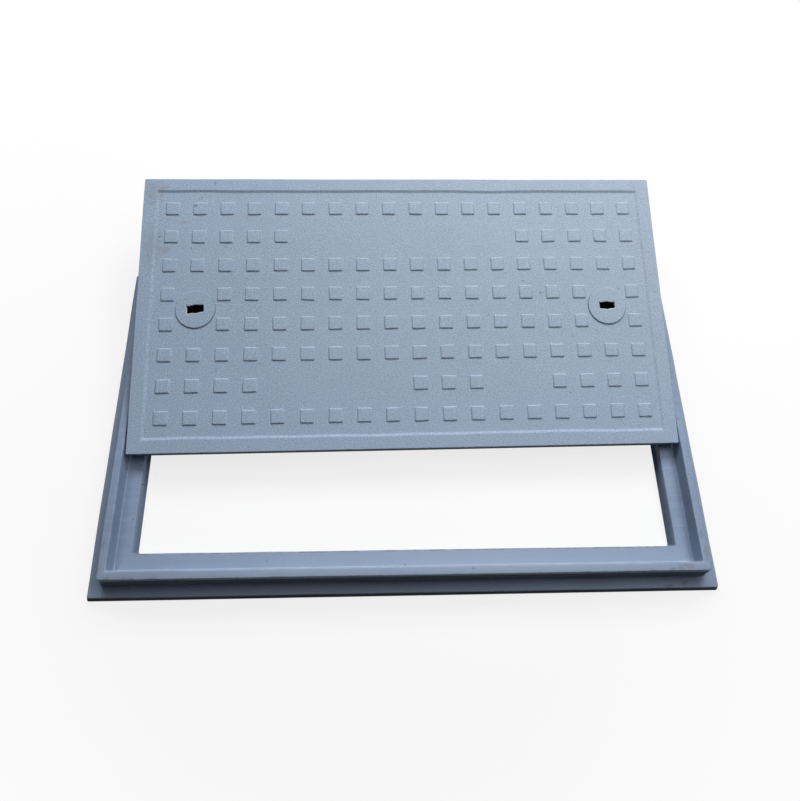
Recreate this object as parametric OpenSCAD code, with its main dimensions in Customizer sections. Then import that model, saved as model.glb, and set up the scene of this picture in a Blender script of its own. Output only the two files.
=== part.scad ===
// Composite access cover with its frame. The cover stands slid back, with its front
// edge down in the rebate and its underside resting on the back rail of the frame.

/* [Clear opening] */
// Length of the clear opening, left to right
opening_length = 900; // [700:10:1000]
// Width of the clear opening, front to back
opening_width = 450; // [420:10:600]

/* [Frame] */
// Height of the frame above its bed
frame_height = 54; // [48:1:70]
// Height of the ledge that the cover sits on
ledge_height = 26; // [20:1:34]
// Width of the ledge
ledge_width = 26; // [20:1:34]
// Width of the top face of the upstand round the cover
upstand_width = 13; // [10:1:22]
// Width of the bedding flange outside the upstand
flange_width = 19; // [12:1:40]
// Thickness of the bedding flange
flange_thickness = 14; // [8:1:18]
// Slope of the flange's edge, measured across its thickness
flange_draft = 4; // [1:0.5:6]
// Draft of the rebate wall, measured across its whole height
rebate_draft = 3; // [1:0.5:5]
// Draft of the opening wall, measured across the height of the ledge
wall_draft = 3; // [1:0.5:4]
// Draft of the upstand's outer wall, measured from the flange up
outer_draft = 5; // [2:0.5:8]
// Corner radius of the flange
flange_corner = 4; // [2:1:10]
// Corner radius of the upstand, seen from outside
frame_corner = 5; // [3:1:12]
// Corner radius of the rebate and of the clear opening
inner_corner = 3; // [2:1:8]

/* [Cover] */
// Gap between the cover and the rebate wall, all round
cover_gap = 3; // [2:0.5:5]
// Gap between the cover's body and the clear opening, all round
body_gap = 4; // [3:0.5:6]
// Thickness of the cover's plate under the field
plate_thickness = 14; // [10:1:20]
// Width of the raised border
border_width = 23; // [16:1:32]
// Height of the border and the studs above the field
relief = 2.5; // [1.5:0.5:4]
// Draft of the cover's body, measured across its whole height
body_draft = 4; // [2:0.5:6]
// Corner radius of the cover
cover_corner = 5; // [3:1:10]

/* [Studs] */
// Pitch of the studs, left to right
stud_pitch_x = 50; // [40:1:52]
// Pitch of the studs, front to back
stud_pitch_y = 55.5; // [44:0.5:56]
// Width of a stud at its foot
stud_foot = 25; // [18:1:30]
// Width of a stud at its top
stud_top = 23; // [16:1:28]
// Width of the bare border strip kept free of studs
stud_margin = 12; // [8:1:20]

/* [Ribs under the cover] */
// Thickness of the wall round the body
body_wall = 14; // [10:1:18]
// Thickness of the ribs
rib_thickness = 12; // [8:1:16]
// Widest bay allowed between two ribs
bay_limit = 100; // [70:5:104]
// Draft of a bay on each side
bay_draft = 2; // [1:0.5:4]

/* [Key sockets] */
// Diameter of the socket's raised disc
disc_diameter = 70; // [60:1:76]
// Diameter of the socket's cup below the disc
cup_diameter = 44; // [38:1:48]
// Length of the key slot
slot_length = 27; // [20:1:30]
// Width of the key slot
slot_width = 12.5; // [8:0.5:14]
// Thickness of the lip that the key turns under
lip_thickness = 10; // [8:1:12]
// Depth of the chamber that the key turns in
chamber_depth = 24; // [18:1:24]
// Column of studs that each disc stands in, counted from the end
disc_column = 2; // [2:1:3]

/* [Where the cover lies] */
// How far the cover is slid back from shut
slide_back = 195; // [150:5:230]
// How far the cover is turned on the frame, in degrees
cover_turn = 0.8; // [0:0.1:0.8]
// How far the front edge is pushed to one side
side_shift = 1; // [0:0.5:1]

/* [Hidden] */
slice = 0.01;
socket_clearance = 0.4;
disc_seat = 4;
cup_floor = 5;
chamber_diameter = 34;
boss_wall = 10;
slot_corner = 2;

// Frame outline, each as half a length or half a width
opening_half = [opening_length / 2, opening_width / 2];
ledge_inner = [for (half = opening_half) half + wall_draft];
rebate_foot = [for (half = ledge_inner) half + ledge_width];
rebate_mouth = [for (half = rebate_foot) half + rebate_draft];
upstand_outer = [for (half = rebate_mouth) half + upstand_width];
upstand_foot = [for (half = upstand_outer) half + outer_draft];
flange_edge = [for (half = upstand_foot) half + flange_width];
flange_foot = [for (half = flange_edge) half + flange_draft];

// Cover outline, measured from the plane that sits on the ledge
seat_rise = frame_height - ledge_height;
body_depth = ledge_height;
cover_foot = [for (half = rebate_foot) half - cover_gap];
cover_top = [for (half = cover_foot) half + rebate_draft];
body_root = [for (half = opening_half) half - body_gap];
body_foot = [for (half = body_root) half - body_draft];
field_level = seat_rise - relief;
plate_under = field_level - plate_thickness;
field_half = [for (half = cover_top) half - border_width];

// Studs: as many as the field holds, the same on each side of the middle
stud_room = [for (half = field_half) 2 * (half - stud_margin)];
stud_columns = floor((stud_room[0] - stud_foot) / stud_pitch_x) + 1;
stud_rows = floor((stud_room[1] - stud_foot) / stud_pitch_y) + 1;
function column_x(column) = (column - (stud_columns + 1) / 2) * stud_pitch_x;
function row_y(row) = (row - (stud_rows + 1) / 2) * stud_pitch_y;
disc_x = -column_x(disc_column);

// Rows are counted from the front. A run of studs is left out for each bare panel.
name_panel = [stud_rows - 1, 6, 13];
size_panel = [2, 5, 9];
load_panel = [2, 13, 14];
function in_panel(row, column, panel) =
    row == panel[0] && column >= panel[1] && column <= panel[2];
function under_disc(row, column) =
    abs(row_y(row)) < disc_diameter / 2 + stud_foot / 2
    && abs(abs(column_x(column)) - disc_x) < disc_diameter / 2;
function has_stud(row, column) =
    !in_panel(row, column, name_panel)
    && !in_panel(row, column, size_panel)
    && !in_panel(row, column, load_panel)
    && !under_disc(row, column);

// Ribs: the body is shared out into equal bays
bay_room = [for (half = body_root) 2 * (half - body_wall)];
bay_count = [for (room = bay_room) ceil((room + rib_thickness) / (bay_limit + rib_thickness))];
bay_size = [for (i = [0, 1]) (bay_room[i] + rib_thickness) / bay_count[i] - rib_thickness];
bay_pitch = [for (size = bay_size) size + rib_thickness];

// Key socket, measured down from the top of the disc
disc_thickness = disc_seat + relief;
cup_depth = lip_thickness + chamber_depth + cup_floor;
cup_bottom = seat_rise - cup_depth;

// Resting place: the tilt at which the underside just meets the back rail
front_foot_y = -cover_foot[1] + slide_back;
reach = rebate_mouth[1] - front_foot_y;
lean_reach = reach * cos(cover_turn) - body_foot[0] * sin(cover_turn);
cover_tilt = asin(body_depth / norm([lean_reach, seat_rise])) + atan(seat_rise / lean_reach);
back_foot_y = front_foot_y + 2 * cover_foot[1] * cos(cover_tilt) * cos(cover_turn)
    + cover_foot[0] * sin(cover_turn);
middle_y = (back_foot_y - flange_foot[1]) / 2;

// A flat outline with rounded corners
module rounded_outline(half, corner) {
    offset_half = [half[0] - corner, half[1] - corner];
    union() {
        square([2 * half[0], 2 * offset_half[1]], center = true);
        square([2 * offset_half[0], 2 * half[1]], center = true);
        for (x = [-1, 1], y = [-1, 1])
            translate([x * offset_half[0], y * offset_half[1]])
                circle(r = corner, $fn = 32);
    }
}

// A block with rounded corners whose foot and head have their own sizes
module drafted_block(foot, head, height, corner) {
    hull() {
        linear_extrude(slice)
            rounded_outline(foot, corner);
        translate([0, 0, height - slice])
            linear_extrude(slice)
                rounded_outline(head, corner);
    }
}

// A square-cornered block whose foot and head have their own sizes
module tapered_block(foot, head, height) {
    corners = [[-1, -1], [1, -1], [1, 1], [-1, 1]];
    points = concat(
        [for (c = corners) [c[0] * foot[0], c[1] * foot[1], 0]],
        [for (c = corners) [c[0] * head[0], c[1] * head[1], height]]
    );
    faces = [
        [0, 1, 2, 3], [7, 6, 5, 4],
        [0, 4, 5, 1], [1, 5, 6, 2], [2, 6, 7, 3], [3, 7, 4, 0]
    ];
    polyhedron(points, faces);
}

// The frame: bedding flange and upstand, with the rebate and the opening cut through
module frame() {
    under = outer_draft / (frame_height - flange_thickness) * flange_thickness;
    color("lightsteelblue")
        translate([0, -middle_y, 0])
            difference() {
                union() {
                    drafted_block(flange_foot, flange_edge, flange_thickness, flange_corner);
                    drafted_block(
                        [for (half = upstand_foot) half + under],
                        upstand_outer,
                        frame_height,
                        frame_corner
                    );
                }
                rebate_cut();
                opening_cut();
            }
}

// The rebate that the cover drops into
module rebate_cut() {
    over = rebate_draft / (frame_height - ledge_height);
    translate([0, 0, ledge_height])
        drafted_block(
            rebate_foot,
            [for (half = rebate_mouth) half + over],
            frame_height - ledge_height + 1,
            inner_corner
        );
}

// The clear opening through the ledge
module opening_cut() {
    over = wall_draft / ledge_height;
    translate([0, 0, -1])
        drafted_block(
            [for (half = opening_half) half - over],
            [for (half = ledge_inner) half + over],
            ledge_height + 2,
            inner_corner
        );
}

// Moves a shape from the cover's own place to where the cover lies on the frame
module lay_cover() {
    translate([side_shift, front_foot_y - middle_y, ledge_height])
        rotate([0, 0, cover_turn])
            rotate([cover_tilt, 0, 0])
                translate([0, cover_foot[1], 0])
                    children();
}

// The cover: one moulding with its rim, body, border, studs and ribs
module cover() {
    color("slategray")
        lay_cover()
            difference() {
                union() {
                    difference() {
                        union() {
                            drafted_block(cover_foot, cover_top, seat_rise, cover_corner);
                            translate([0, 0, -body_depth])
                                drafted_block(body_foot, body_root, body_depth + 1, cover_corner);
                        }
                        field_cut();
                        rib_bays();
                    }
                    studs();
                    socket_bosses();
                }
                socket_seats();
            }
}

// The sunk field inside the raised border
module field_cut() {
    translate([0, 0, field_level])
        tapered_block(field_half, [for (half = field_half) half + relief / 2], relief + 1);
}

// The rows of studs, with the places of the markings and the discs left bare
module studs() {
    for (row = [1:stud_rows], column = [1:stud_columns])
        if (has_stud(row, column))
            translate([column_x(column), row_y(row), field_level - 1])
                stud();
}

// One stud, sunk a millimetre into the field
module stud() {
    slope = (stud_foot - stud_top) / 2 / relief;
    foot = stud_foot / 2 + slope;
    head = stud_top / 2;
    tapered_block([foot, foot], [head, head], relief + 1);
}

// The bays between the ribs, open below
module rib_bays() {
    depth = plate_under + body_depth;
    head = [for (size = bay_size) size / 2 - bay_draft];
    mouth = [for (size = bay_size) size / 2 + bay_draft / depth];
    for (i = [1:bay_count[0]], j = [1:bay_count[1]])
        translate([
            (i - (bay_count[0] + 1) / 2) * bay_pitch[0],
            (j - (bay_count[1] + 1) / 2) * bay_pitch[1],
            -body_depth - 1
        ])
            tapered_block(mouth, head, depth + 1);
}

// The bosses that carry the key sockets, down to the foot of the ribs
module socket_bosses() {
    for (side = [-1, 1])
        translate([side * disc_x, 0, -body_depth])
            cylinder(d = cup_diameter + 2 * boss_wall, h = body_depth + plate_under + 1, $fn = 64);
}

// The bores and disc seats that the key sockets sit in
module socket_seats() {
    for (side = [-1, 1])
        translate([side * disc_x, 0, 0]) {
            translate([0, 0, field_level - disc_seat])
                cylinder(d = disc_diameter + 2 * socket_clearance, h = disc_seat + relief + 1, $fn = 64);
            translate([0, 0, cup_bottom - socket_clearance])
                cylinder(
                    d = cup_diameter + 2 * socket_clearance,
                    h = field_level - cup_bottom,
                    $fn = 64
                );
        }
}

// A key socket: a raised disc with a slot, over a cup that the key turns in
module key_socket(side) {
    color("lightslategray")
        lay_cover()
            translate([side * disc_x, 0, 0])
                difference() {
                    union() {
                        translate([0, 0, seat_rise - disc_thickness])
                            cylinder(d = disc_diameter, h = disc_thickness, $fn = 64);
                        translate([0, 0, cup_bottom])
                            cylinder(d = cup_diameter, h = cup_depth - 1, $fn = 64);
                    }
                    translate([0, 0, seat_rise - lip_thickness - 1])
                        linear_extrude(lip_thickness + 2)
                            rounded_outline([slot_length / 2, slot_width / 2], slot_corner);
                    translate([0, 0, cup_bottom + cup_floor])
                        cylinder(d = chamber_diameter, h = chamber_depth, $fn = 64);
                }
}

frame();
cover();
key_socket(-1);  // key_socket_left
key_socket(1);  // key_socket_right
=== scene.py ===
import math

import bmesh
import bpy
from mathutils import Euler, Matrix, Vector, noise


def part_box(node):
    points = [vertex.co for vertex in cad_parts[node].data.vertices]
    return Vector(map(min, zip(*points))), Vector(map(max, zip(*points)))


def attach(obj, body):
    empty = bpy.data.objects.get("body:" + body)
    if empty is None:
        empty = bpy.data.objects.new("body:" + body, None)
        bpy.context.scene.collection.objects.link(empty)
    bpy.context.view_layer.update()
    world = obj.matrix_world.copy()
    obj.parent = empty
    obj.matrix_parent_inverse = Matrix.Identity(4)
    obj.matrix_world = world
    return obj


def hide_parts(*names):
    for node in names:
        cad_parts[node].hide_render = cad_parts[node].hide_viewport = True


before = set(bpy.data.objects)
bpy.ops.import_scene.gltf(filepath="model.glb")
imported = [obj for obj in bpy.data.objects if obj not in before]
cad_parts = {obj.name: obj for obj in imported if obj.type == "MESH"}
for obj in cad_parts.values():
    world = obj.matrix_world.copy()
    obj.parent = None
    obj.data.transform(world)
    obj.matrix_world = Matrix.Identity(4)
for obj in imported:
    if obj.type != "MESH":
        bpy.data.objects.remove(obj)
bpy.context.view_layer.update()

MM = 0.001

# Sizes of the frame, as in the part's source
FRAME_HALF_X = 519 * MM
FRAME_HALF_Y = 294 * MM
FRAME_HEIGHT = 54 * MM
LEDGE_HEIGHT = 26 * MM
LEDGE_WIDTH = 26 * MM
UPSTAND_WIDTH = 13 * MM
FLANGE_WIDTH = 19 * MM
FLANGE_THICKNESS = 14 * MM
FLANGE_DRAFT = 4 * MM
DRAFT = 3 * MM
OUTER_DRAFT = 5 * MM
FLANGE_CORNER = 4 * MM
FRAME_CORNER = 5 * MM
INNER_CORNER = 3 * MM
CUT_SPACING = 9 * MM

# Chips along the upstand's outer top edge: how near to it, how fine, how rare and how deep
CHIP_ZONE = 2 * MM
CHIP_PATTERN = 90
CHIP_LEAST = 0.28
CHIP_DEPTH = 3 * MM

# Sizes of the cover, in its own place: the origin is in the middle of the seat plane
COVER_TOP = (479 * MM, 254 * MM)
COVER_FOOT = (476 * MM, 251 * MM)
BODY_ROOT = (446 * MM, 221 * MM)
BODY_FOOT = (442 * MM, 217 * MM)
SEAT_RISE = FRAME_HEIGHT - LEDGE_HEIGHT
BODY_DEPTH = LEDGE_HEIGHT
BORDER_WIDTH = 23 * MM
BORDER_SLOPE = 4.5 * MM
RELIEF = 2.5 * MM
FIELD_LEVEL = SEAT_RISE - RELIEF
PLATE_THICKNESS = 14 * MM
PLATE_UNDER = FIELD_LEVEL - PLATE_THICKNESS
COVER_CORNER = 2.5 * MM
FRONT_PULL = 3.4 * MM

# Studs
COLUMNS = 18
ROWS = 8
PITCH_X = 50 * MM
PITCH_Y = 55.5 * MM
STUD_FOOT = 25 * MM
STUD_DRAFT = 1 * MM
STUD_LEVEL = FIELD_LEVEL + 2.2 * MM
STUD_CORNER = 1.8 * MM

# Columns left bare where the photo has panels, by row counted from the front
BARE_COLUMNS = {ROWS - 1: tuple(range(6, 14)), 2: (*range(5, 10), 13, 14)}
DISC_ROWS = (ROWS // 2, ROWS // 2 + 1)
DISC_COLUMNS = (2, COLUMNS - 1)

# How far the hand-laid lines and studs stray, and how fine each pattern is
STUD_WAVER = 0.9 * MM
LONG_LINE_WAVER = 2.6 * MM
SHORT_LINE_WAVER = 1.8 * MM
STUD_PATTERN = 34
LINE_PATTERN = 9

# Ribs under the cover
BODY_WALL = 14 * MM
RIB = 12 * MM
BAYS = (8, 4)
BAY_DRAFT = 2 * MM

# Key sockets
DISC_X = 375 * MM
DISC_DIAMETER = 70 * MM
CUP_DIAMETER = 44 * MM
SLOT_LENGTH = 27 * MM
SLOT_WIDTH = 12.5 * MM
LIP = 10 * MM
CHAMBER_DIAMETER = 34 * MM
CHAMBER_DEPTH = 24 * MM
CUP_FLOOR = 5 * MM
DISC_SEAT = 4 * MM
DISC_EDGE = 1.6 * MM
SLOT_EDGE = 1.8 * MM
BOSS_WALL = 10 * MM
SOCKET_CLEARANCE = 0.4 * MM

# Broken outlines of the two slots, in millimetres from the middle of each disc
LEFT_SLOT = [
    (-16, 8.6), (-13.6, 5.6), (-8, 6.4), (-2, 8.2), (2, 8.6), (7.5, 8), (13, 8.4), (14.6, 6.8),
    (14.8, 1), (15.2, -3.4), (13.8, -4.6), (8.5, -5.3), (5.4, -6.2), (1.5, -7.6), (-3, -6.8),
    (-8, -7), (-12.6, -8.6), (-14.2, -7.8), (-14.4, -1), (-15, 3.4),
]
RIGHT_SLOT = [
    (-15, 6.6), (-11.5, 6.4), (-7.5, 6.6), (-3, 7.6), (1, 7.8), (5, 6.8), (9, 6), (13.6, 6.6),
    (14.6, 5.6), (13.6, 1.6), (14.8, -3.6), (12, -5.2), (6, -5.4), (1.5, -6.8), (-3, -6),
    (-8, -5.4), (-12.4, -5.4), (-14, -4), (-13.8, 2),
]

# Where the cover lies on the frame
SLIDE_BACK = 195 * MM
COVER_TURN = math.radians(0.8)
SIDE_SHIFT = 1 * MM

EPS = 0.05 * MM


def middle_of(box):
    """The middle of a box that is given as its two corners."""
    low, high = Vector(box[0]), Vector(box[1])
    return (low + high) / 2


FRAME_Y = middle_of(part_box("frame")).y


def cover_placing():
    """The matrix that lays the cover on the frame, from where its underside meets the back rail."""
    rebate_mouth_y = FRAME_HALF_Y - FLANGE_WIDTH - OUTER_DRAFT - UPSTAND_WIDTH
    front_foot_y = -COVER_FOOT[1] + SLIDE_BACK
    reach = rebate_mouth_y - front_foot_y
    lean = reach * math.cos(COVER_TURN) - BODY_FOOT[0] * math.sin(COVER_TURN)
    tilt = math.asin(BODY_DEPTH / math.hypot(lean, SEAT_RISE)) + math.atan(SEAT_RISE / lean)
    turn = Euler((tilt, 0, COVER_TURN)).to_matrix().to_4x4()
    place = Matrix.Translation((SIDE_SHIFT, front_foot_y + FRAME_Y, LEDGE_HEIGHT))
    return place @ turn @ Matrix.Translation((0, COVER_FOOT[1], 0))


COVER_PLACING = cover_placing()


# Modelling helpers

def deselect():
    bpy.ops.object.select_all(action="DESELECT")


def start_on(piece):
    """Makes one piece the selected and active one."""
    deselect()
    piece.select_set(True)
    bpy.context.view_layer.objects.active = piece


def named(name):
    """Names the piece that was just added."""
    piece = bpy.context.object
    piece.name = name
    piece.data.name = name
    return piece


def edit():
    bpy.ops.object.mode_set(mode="EDIT")
    bpy.ops.mesh.select_mode(type="FACE")


def leave_edit():
    bpy.ops.object.mode_set(mode="OBJECT")


def pick_faces(piece, test):
    """Selects the faces that pass a test on their middle and normal."""
    bpy.ops.mesh.select_mode(type="FACE")
    bpy.ops.mesh.select_all(action="DESELECT")
    mesh = bmesh.from_edit_mesh(piece.data)
    for face in mesh.faces:
        if test(face.calc_center_median(), face.normal):
            face.select_set(True)
    mesh.select_flush_mode()
    bmesh.update_edit_mesh(piece.data)


def pick_edges(piece, test):
    """Selects the edges that pass a test on the edge itself."""
    bpy.ops.mesh.select_mode(type="EDGE")
    bpy.ops.mesh.select_all(action="DESELECT")
    mesh = bmesh.from_edit_mesh(piece.data)
    for edge in mesh.edges:
        if test(edge):
            edge.select_set(True)
    mesh.select_flush_mode()
    bmesh.update_edit_mesh(piece.data)


def sharp(edge, least=20):
    """True where the two faces of an edge meet at more than a few degrees."""
    return len(edge.link_faces) == 2 and edge.calc_face_angle() > math.radians(least)


def at_level(edge, level):
    return all(abs(v.co.z - level) < EPS for v in edge.verts)


def edge_middle(edge):
    return (edge.verts[0].co + edge.verts[1].co) / 2


def climbs(edge):
    """True where an edge runs up a wall."""
    first, second = edge.verts
    return abs(first.co.z - second.co.z) > 1 * MM


def round_off(radius, segments):
    """Bevels the selected edges."""
    bpy.ops.mesh.bevel(offset=radius, segments=segments, affect="EDGES", clamp_overlap=True)


def step_in(thickness, depth=0.0, each=False):
    """Insets the selected faces and sets the inner ones up or down."""
    bpy.ops.mesh.inset(thickness=thickness, depth=depth, use_individual=each)


def extrude_rim(drop, before, after, middle_y=0.0):
    """Extrudes the selected outline down by a drop and changes its half sizes."""
    bpy.ops.mesh.extrude_region_move(TRANSFORM_OT_translate={"value": (0, 0, -drop)})
    scale = (after[0] / before[0], after[1] / before[1], 1)
    bpy.ops.transform.resize(value=scale, center_override=(0, middle_y, 0))


def cut_across(axis, at):
    """Cuts the selected faces by an upright plane at one place along an axis."""
    place = [0, 0, 0]
    normal = [0, 0, 0]
    place[axis] = at
    normal[axis] = 1
    bpy.ops.mesh.bisect(plane_co=place, plane_no=normal)


def add_plate(name, half, middle, level):
    """Adds a flat plate at its half sizes."""
    deselect()
    bpy.ops.mesh.primitive_plane_add(size=2, location=(0, middle, level))
    piece = named(name)
    piece.scale = (half[0], half[1], 1)
    bpy.ops.object.transform_apply(location=True, scale=True)
    return piece


def add_rod(name, diameter, low, high, middle=(0, 0), sides=96):
    """Adds a round rod that stands between two levels."""
    deselect()
    bpy.ops.mesh.primitive_cylinder_add(
        vertices=sides,
        radius=diameter / 2,
        depth=high - low,
        location=(middle[0], middle[1], (low + high) / 2),
    )
    piece = named(name)
    bpy.ops.object.transform_apply(location=True)
    return piece


def combine(piece, tool, operation):
    """Joins a tool shape to a piece or cuts it away, and removes the tool shape."""
    start_on(piece)
    joiner = piece.modifiers.new("combine", "BOOLEAN")
    joiner.object = tool
    joiner.operation = operation
    joiner.solver = "EXACT"
    bpy.ops.object.modifier_apply(modifier=joiner.name)
    bpy.data.objects.remove(tool)


def lay_on_frame(piece):
    """Puts a piece that was made in the cover's own place where the cover lies."""
    start_on(piece)
    piece.matrix_world = COVER_PLACING
    bpy.ops.object.transform_apply(location=True, rotation=True, scale=True)


def ripple(piece, size, strength, seed_shift=0.0, fade=0.0):
    """Gives a moulded surface its slight waviness. What lies on the ground stays flat."""
    normals = [vertex.normal.copy() for vertex in piece.data.vertices]
    for vertex, normal in zip(piece.data.vertices, normals):
        spot = Vector(vertex.co) / size + Vector((seed_shift, 0, 0))
        share = min(1.0, vertex.co.z / fade) if fade else 1.0
        vertex.co += normal * noise.noise(spot) * strength * share


def smooth_by_angle(piece, angle=40):
    """Smooth shading over the rounded edges that keeps the large faces flat."""
    start_on(piece)
    bpy.ops.object.shade_smooth_by_angle(angle=math.radians(angle))
    flat = piece.modifiers.new("flat_faces", "WEIGHTED_NORMAL")
    flat.keep_sharp = True
    bpy.ops.object.modifier_apply(modifier=flat.name)


# The frame

def ring_sizes():
    """Half sizes of the frame's outlines, from the flange edge inwards."""
    edge = (FRAME_HALF_X, FRAME_HALF_Y)
    foot = tuple(half - FLANGE_WIDTH for half in edge)
    top = tuple(half - OUTER_DRAFT for half in foot)
    return edge, foot, top


def frame_moulding():
    """The frame: a ring with its upstand, rebate, ledge and flange."""
    edge, foot, top = ring_sizes()
    piece = add_plate("frame_moulding", top, FRAME_Y, FRAME_HEIGHT)
    edit()
    step_in(UPSTAND_WIDTH)
    step_in(DRAFT, LEDGE_HEIGHT - FRAME_HEIGHT)
    step_in(LEDGE_WIDTH)
    step_in(DRAFT, -LEDGE_HEIGHT)
    bpy.ops.mesh.delete(type="FACE")
    pick_edges(piece, lambda e: e.is_boundary and at_level(e, FRAME_HEIGHT))
    extrude_rim(FRAME_HEIGHT - FLANGE_THICKNESS, top, foot, FRAME_Y)
    extrude_rim(0, foot, edge, FRAME_Y)
    flange_foot = tuple(half + FLANGE_DRAFT for half in edge)
    extrude_rim(FLANGE_THICKNESS, edge, flange_foot, FRAME_Y)
    pick_edges(piece, lambda e: e.is_boundary)
    bpy.ops.mesh.bridge_edge_loops()
    bpy.ops.mesh.select_all(action="SELECT")
    bpy.ops.mesh.normals_make_consistent(inside=False)
    round_frame_corners(piece, edge)
    round_frame_edges(piece, top)
    cut_along(flange_foot, FRAME_Y, CUT_SPACING)
    leave_edit()
    chip_upstand(piece, top)
    ripple(piece, 0.11, 0.9 * MM, fade=8 * MM)
    smooth_by_angle(piece)
    return piece


def round_frame_corners(piece, edge):
    """Rounds the upright corner edges of each wall, as seen from above."""
    flange_wall = edge[0] - 2 * MM
    upstand_wall = edge[0] - FLANGE_WIDTH - OUTER_DRAFT - UPSTAND_WIDTH / 2

    def on_flange(e):
        return climbs(e) and sharp(e) and abs(e.verts[0].co.x) > flange_wall

    def outside(e):
        return climbs(e) and sharp(e, 50) and upstand_wall < abs(e.verts[0].co.x) < flange_wall

    def inside(e):
        return climbs(e) and sharp(e, 50) and abs(e.verts[0].co.x) < upstand_wall

    pick_edges(piece, on_flange)
    round_off(FLANGE_CORNER, 4)
    pick_edges(piece, outside)
    round_off(FRAME_CORNER, 5)
    pick_edges(piece, inside)
    round_off(INNER_CORNER, 4)


def round_frame_edges(piece, top):
    """Rounds the long edges and fills the long inner corners with a fillet."""
    inner_limit = top[0] - UPSTAND_WIDTH / 2
    inner_limit_y = top[1] - UPSTAND_WIDTH / 2

    def inner(e):
        middle = edge_middle(e)
        return abs(middle.x) < inner_limit and abs(middle.y - FRAME_Y) < inner_limit_y

    def ledge_inner(e):
        middle = edge_middle(e)
        limit_x = inner_limit - UPSTAND_WIDTH / 2 - LEDGE_WIDTH / 2
        limit_y = inner_limit_y - UPSTAND_WIDTH / 2 - LEDGE_WIDTH / 2
        return abs(middle.x) < limit_x and abs(middle.y - FRAME_Y) < limit_y

    def flange_outer(e):
        middle = edge_middle(e)
        limit_x = FRAME_HALF_X - FLANGE_WIDTH / 2
        limit_y = FRAME_HALF_Y - FLANGE_WIDTH / 2
        return abs(middle.x) > limit_x or abs(middle.y - FRAME_Y) > limit_y

    # Level, which edges on it, radius and segments
    groups = [
        (FRAME_HEIGHT, inner, 3.5 * MM, 4),
        (FRAME_HEIGHT, lambda e: not inner(e), 1.6 * MM, 3),
        (LEDGE_HEIGHT, ledge_inner, 2.5 * MM, 3),
        (LEDGE_HEIGHT, lambda e: not ledge_inner(e), 5 * MM, 4),
        (FLANGE_THICKNESS, lambda e: not flange_outer(e), 2.5 * MM, 3),
        (FLANGE_THICKNESS, flange_outer, 1.6 * MM, 3),
        (0, lambda e: True, 0.8 * MM, 2),
    ]
    for level, test, radius, segments in groups:
        pick_edges(piece, lambda e: at_level(e, level) and sharp(e) and test(e))
        round_off(radius, segments)


def cut_along(half, middle_y, spacing):
    """Cuts the piece across at an even spacing, so that its long edges can waver."""
    for axis, reach, middle in ((0, half[0], 0.0), (1, half[1], middle_y)):
        count = int(2 * reach / spacing)
        for i in range(1, count):
            bpy.ops.mesh.select_all(action="SELECT")
            cut_across(axis, middle - reach + 2 * reach * i / count)


def chip_upstand(piece, top):
    """Chips the outer top edge of the upstand here and there."""
    for vertex in piece.data.vertices:
        near_x = abs(vertex.co.x) - (top[0] - CHIP_ZONE)
        near_y = abs(vertex.co.y - FRAME_Y) - (top[1] - CHIP_ZONE)
        if vertex.co.z < FRAME_HEIGHT - CHIP_ZONE or max(near_x, near_y) < 0:
            continue
        bite = (noise.noise(vertex.co * CHIP_PATTERN) - CHIP_LEAST) * CHIP_DEPTH
        if bite > 0:
            inward = Vector((0, FRAME_Y, 0)) - vertex.co
            inward.z = 0
            sideways = Vector((inward.x, 0, 0)) if near_x > near_y else Vector((0, inward.y, 0))
            vertex.co += sideways.normalized() * bite + Vector((0, 0, -bite))


# The cover

def column_x(column):
    return (column - (COLUMNS + 1) / 2) * PITCH_X


def row_y(row):
    return (row - (ROWS + 1) / 2) * PITCH_Y


def has_stud(row, column):
    """False on the bare panels and under the discs. Rows count from the front."""
    under_disc = row in DISC_ROWS and column in DISC_COLUMNS
    return not under_disc and column not in BARE_COLUMNS.get(row, ())


def stud_places():
    cells = [(row, column) for row in range(1, ROWS + 1) for column in range(1, COLUMNS + 1)]
    return [Vector((column_x(c), row_y(r))) for r, c in cells if has_stud(r, c)]


def cover_moulding():
    """The cover: border, field and studs above, rim, body and ribs below."""
    piece = add_plate("cover_moulding", COVER_TOP, 0, SEAT_RISE)
    edit()
    step_in(BORDER_WIDTH)
    step_in(BORDER_SLOPE, -RELIEF)
    raise_studs(piece)
    shape_underside(piece)
    round_cover(piece)
    cut_top(piece)
    leave_edit()
    straighten_front(piece)
    waver_top(piece)
    for side in (-1, 1):
        middle = (side * DISC_X, 0)
        boss_diameter = CUP_DIAMETER + 2 * BOSS_WALL
        boss = add_rod("boss", boss_diameter, -BODY_DEPTH, PLATE_UNDER + 1 * MM, middle)
        combine(piece, boss, "UNION")
    for side in (-1, 1):
        middle = (side * DISC_X, 0)
        seat_diameter = DISC_DIAMETER + 2 * SOCKET_CLEARANCE
        seat = add_rod("seat", seat_diameter, FIELD_LEVEL - DISC_SEAT, SEAT_RISE + 1 * MM, middle)
        combine(piece, seat, "DIFFERENCE")
        cup_bottom = SEAT_RISE - LIP - CHAMBER_DEPTH - CUP_FLOOR - SOCKET_CLEARANCE
        bore_diameter = CUP_DIAMETER + 2 * SOCKET_CLEARANCE
        bore = add_rod("bore", bore_diameter, cup_bottom, FIELD_LEVEL, middle)
        combine(piece, bore, "DIFFERENCE")
    ripple(piece, 0.13, 0.5 * MM, 3.7)
    lay_on_frame(piece)
    smooth_by_angle(piece)
    return piece


def in_field(middle, normal):
    return abs(middle.z - FIELD_LEVEL) < EPS and normal.z > 0.9


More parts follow.
